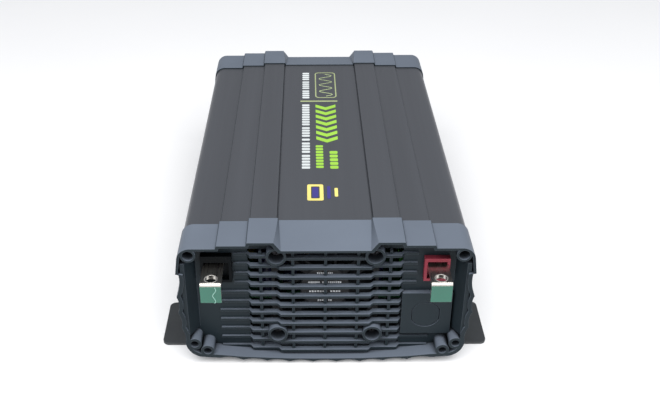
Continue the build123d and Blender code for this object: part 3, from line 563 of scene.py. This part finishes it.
# Rows of dashes on the label: height, half the row's width, and how many dashes there are in each group
LABEL_ROWS = ((12.6, 6.0, (5, 3)), (8.4, 10.4, (3, 6, 4)), (4.2, 12.5, (6, 2, 7)),
              (0.0, 13.6, (4, 4, 3, 2)), (-4.2, 12.0, (7, 4)), (-8.4, 10.2, (3, 4, 3)),
              (-12.6, 5.5, (4, 2)))
DASH_HEIGHT = 1.5
DASH_SHARE = 0.7


def label_dashes(bm):
    for z, half, groups in LABEL_ROWS:
        step = 2 * half / (sum(groups) + len(groups) - 1)
        x = -half
        for group in groups:
            for _ in range(group):
                right = x + DASH_SHARE * step
                prism(bm, [(x, z), (right, z), (right, z + DASH_HEIGHT), (x, z + DASH_HEIGHT)])
                x += step
            x += step


def make_label_print():
    """Pale dashes on the round label in front of the fan's hub."""
    low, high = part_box("fan_label")
    place = Matrix.Translation(((low.x + high.x) / 2, low.y, (low.z + high.z) / 2)) @ TO_FACE_DC_END
    new_piece("fan_label_print", mesh_from("fan_label_print", label_dashes, place),
              glossy("ink_label", (0.78, 0.80, 0.82), 0.35))


FILM_WIDTH = 15 * MM
FILM_THICK = 0.25 * MM
FILM_COLUMNS = 60
FILM_ROWS = 40
FOLD_HEIGHT = 0.4 * MM
# Width and number of points of the painted highlight along the fold.
FOLD_HIGHLIGHT_WIDTH = 0.35
FOLD_HIGHLIGHT_POINTS = 24


def fold_place(v):
    """Where the fold is across the film, 0..1, at v down its height."""
    return 0.70 + 0.07 * math.sin(9.0 * v) - 0.06 * v


def film_ripple(u, v, folded):
    """How far the film stands off its terminal at (u, v), both 0..1."""
    loose = 0.05 * MM * (1 + math.sin(5.1 * u + 2.3 * v) * math.cos(3.7 * v - 1.9 * u))
    if not folded:
        return loose
    return loose + FOLD_HEIGHT * max(0.0, 1.0 - abs(u - fold_place(v)) / 0.055)


def film_side(bm, left, top, bottom, y, ripple):
    """Grid of vertices for one side of a film, pushed out by ripple(u, v)."""
    grid = []
    for j in range(FILM_ROWS + 1):
        v = j / FILM_ROWS
        line = []
        for i in range(FILM_COLUMNS + 1):
            u = i / FILM_COLUMNS
            place = (left + FILM_WIDTH * u, y - ripple(u, v), top + (bottom - top) * v)
            line.append(bm.verts.new(place))
        grid.append(line)
    for above, below in zip(grid, grid[1:]):
        for i in range(FILM_COLUMNS):
            bm.faces.new((above[i], above[i + 1], below[i + 1], below[i]))
    return grid


def film(bm, left, folded):
    """One film from its left edge on, closed round its rim."""
    low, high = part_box("terminal_films")
    front = film_side(bm, left, high.z, low.z, high.y - FILM_THICK, lambda u, v: film_ripple(u, v, folded))
    back = film_side(bm, left, high.z, low.z, high.y, lambda u, v: 0.0)
    rim = [(j, 0) for j in range(FILM_ROWS)] + [(FILM_ROWS, i) for i in range(FILM_COLUMNS)]
    rim += [(j, FILM_COLUMNS) for j in range(FILM_ROWS, 0, -1)] + [(0, i) for i in range(FILM_COLUMNS, 0, -1)]
    join_loops(bm, [front[j][i] for j, i in rim], [back[j][i] for j, i in rim])


def make_films():
    """The films that cover the front of the terminals. The left one has a fold."""
    low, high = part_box("terminal_films")

    def sheets(bm):
        film(bm, low.x, True)
        film(bm, high.x - FILM_WIDTH, False)

    # A paler line along the fold: a painted highlight where light catches the crease.
    def fold_highlight_line(bm):
        points = []
        for i in range(FOLD_HIGHLIGHT_POINTS + 1):
            v = i / FOLD_HIGHLIGHT_POINTS
            x = low.x + FILM_WIDTH * fold_place(v)
            points.append((x / MM, (high.z + (low.z - high.z) * v) / MM))
        ribbon(bm, points, FOLD_HIGHLIGHT_WIDTH, 0.0, 0.05)

    in_front = Matrix.Translation((0, high.y - FILM_THICK - 0.5 * MM, 0)) @ TO_FACE_DC_END
    new_piece("terminal_film_fold_highlight", mesh_from("terminal_film_fold_highlight", fold_highlight_line, in_front),
              glossy("fold_highlight_film", (0.30, 0.55, 0.47), 0.2))

    name = "terminal_film_sheets"
    piece = new_piece(name, mesh_from(name, sheets), MATERIALS["green_film"])
    for face in piece.data.polygons:
        face.use_smooth = True
    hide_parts("terminal_films")


RIM_WIDTH = 0.6
RIM_GAP = 0.02
RIM_HEIGHT = 0.06


def make_hole_rims():
    """Bright worn ring round the bolt hole of each terminal."""
    mounts = {mount["name"]: mount for mount in frame["record"]["mounts"]}
    for terminal in ("negative_terminal", "positive_terminal"):
        hole = mounts[terminal + "_hole"]
        x, y = hole["pos_m"][:2]
        radius = hole["dims"]["r_mm"]

        def build(bm):
            ring(bm, circle(radius + RIM_WIDTH), circle(radius + RIM_GAP), 0.0, RIM_HEIGHT)

        name = terminal + "_hole_rim"
        place = Matrix.Translation((x, y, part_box(terminal)[1].z))
        new_piece(name, mesh_from(name, build, place), MATERIALS["nickel_rim"])


MARK_HEIGHT = 3.8 * MM


def on_rocker(height):
    """Frame on the rocker's front surface, at a height above its middle, with its local Z pointing out."""
    low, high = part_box("switch_rocker")
    start = Vector(((low.x + high.x) / 2, high.y + 0.02, (low.z + high.z) / 2 + height))
    _, point, normal, _ = NODES["switch_rocker"].ray_cast(start, Vector((0, -1, 0)))
    across = Vector((-1, 0, 0))
    up = normal.cross(across).normalized()
    return Matrix.Translation(point) @ Matrix((across, up, normal)).transposed().to_4x4()


def on_line(bm):
    prism(bm, rounded_rectangle(-0.35, 0.35, -1.6, 1.6, 0.3))


def off_loop(bm):
    ring(bm, circle(1.6), circle(1.1))


def make_rocker_marks():
    """The usual line and ring for on and off."""
    material = glossy("ink_switch", (0.70, 0.71, 0.72), 0.4)
    for name, build, height in (("rocker_mark_on", on_line, MARK_HEIGHT),
                                ("rocker_mark_off", off_loop, -MARK_HEIGHT)):
        new_piece(name, mesh_from(name, build, on_rocker(height)), material, body="switch_rocker")


# ---- Floor and light ----

FLOOR_HALF = 6.0
WORLD_COLOUR = (0.93, 0.95, 1.0, 1)
WORLD_STRENGTH = 0.45
LIGHT_AT = (0.0, -1.05, 1.6)
LIGHT_SIZE = (2.6, 2.0)
LIGHT_POWER = 60


def make_floor():
    def build(bm):
        z = cad_box[0].z
        bm.faces.new([bm.verts.new((x * FLOOR_HALF, y * FLOOR_HALF, z))
                      for x, y in ((-1, -1), (1, -1), (1, 1), (-1, 1))])

    s = Shader("floor")
    base = s.ramp(s.noise(3.0), [(0.3, shade(WHITE, 0.90)), (0.7, shade(WHITE, 0.92))])
    mesh = mesh_from("floor", build)
    mesh.materials.append(s.finish(base, s.span(s.noise(8.0), 0.75, 0.9)))
    floor = bpy.data.objects.new("floor", mesh)
    bpy.context.scene.collection.objects.link(floor)


def make_light():
    """One large soft light above the DC end, and an even pale surrounding."""
    world = bpy.data.worlds.new("studio")
    bpy.context.scene.world = world
    world.use_nodes = True
    background = world.node_tree.nodes["Background"]
    background.inputs["Color"].default_value = WORLD_COLOUR
    background.inputs["Strength"].default_value = WORLD_STRENGTH
    data = bpy.data.lights.new("top_light", "AREA")
    data.shape = "RECTANGLE"
    data.size, data.size_y = LIGHT_SIZE
    data.energy = LIGHT_POWER
    light = bpy.data.objects.new("top_light", data)
    light.location = LIGHT_AT
    light.rotation_mode = "QUATERNION"
    light.rotation_quaternion = (-Vector(LIGHT_AT)).to_track_quat("-Z", "Y")
    bpy.context.scene.collection.objects.link(light)
    bpy.context.scene.view_settings.view_transform = "Standard"


make_camera()
MATERIALS = dress_nodes()
make_cover_print()
make_label_print()
make_films()
make_hole_rims()
make_rocker_marks()
make_floor()
make_light()
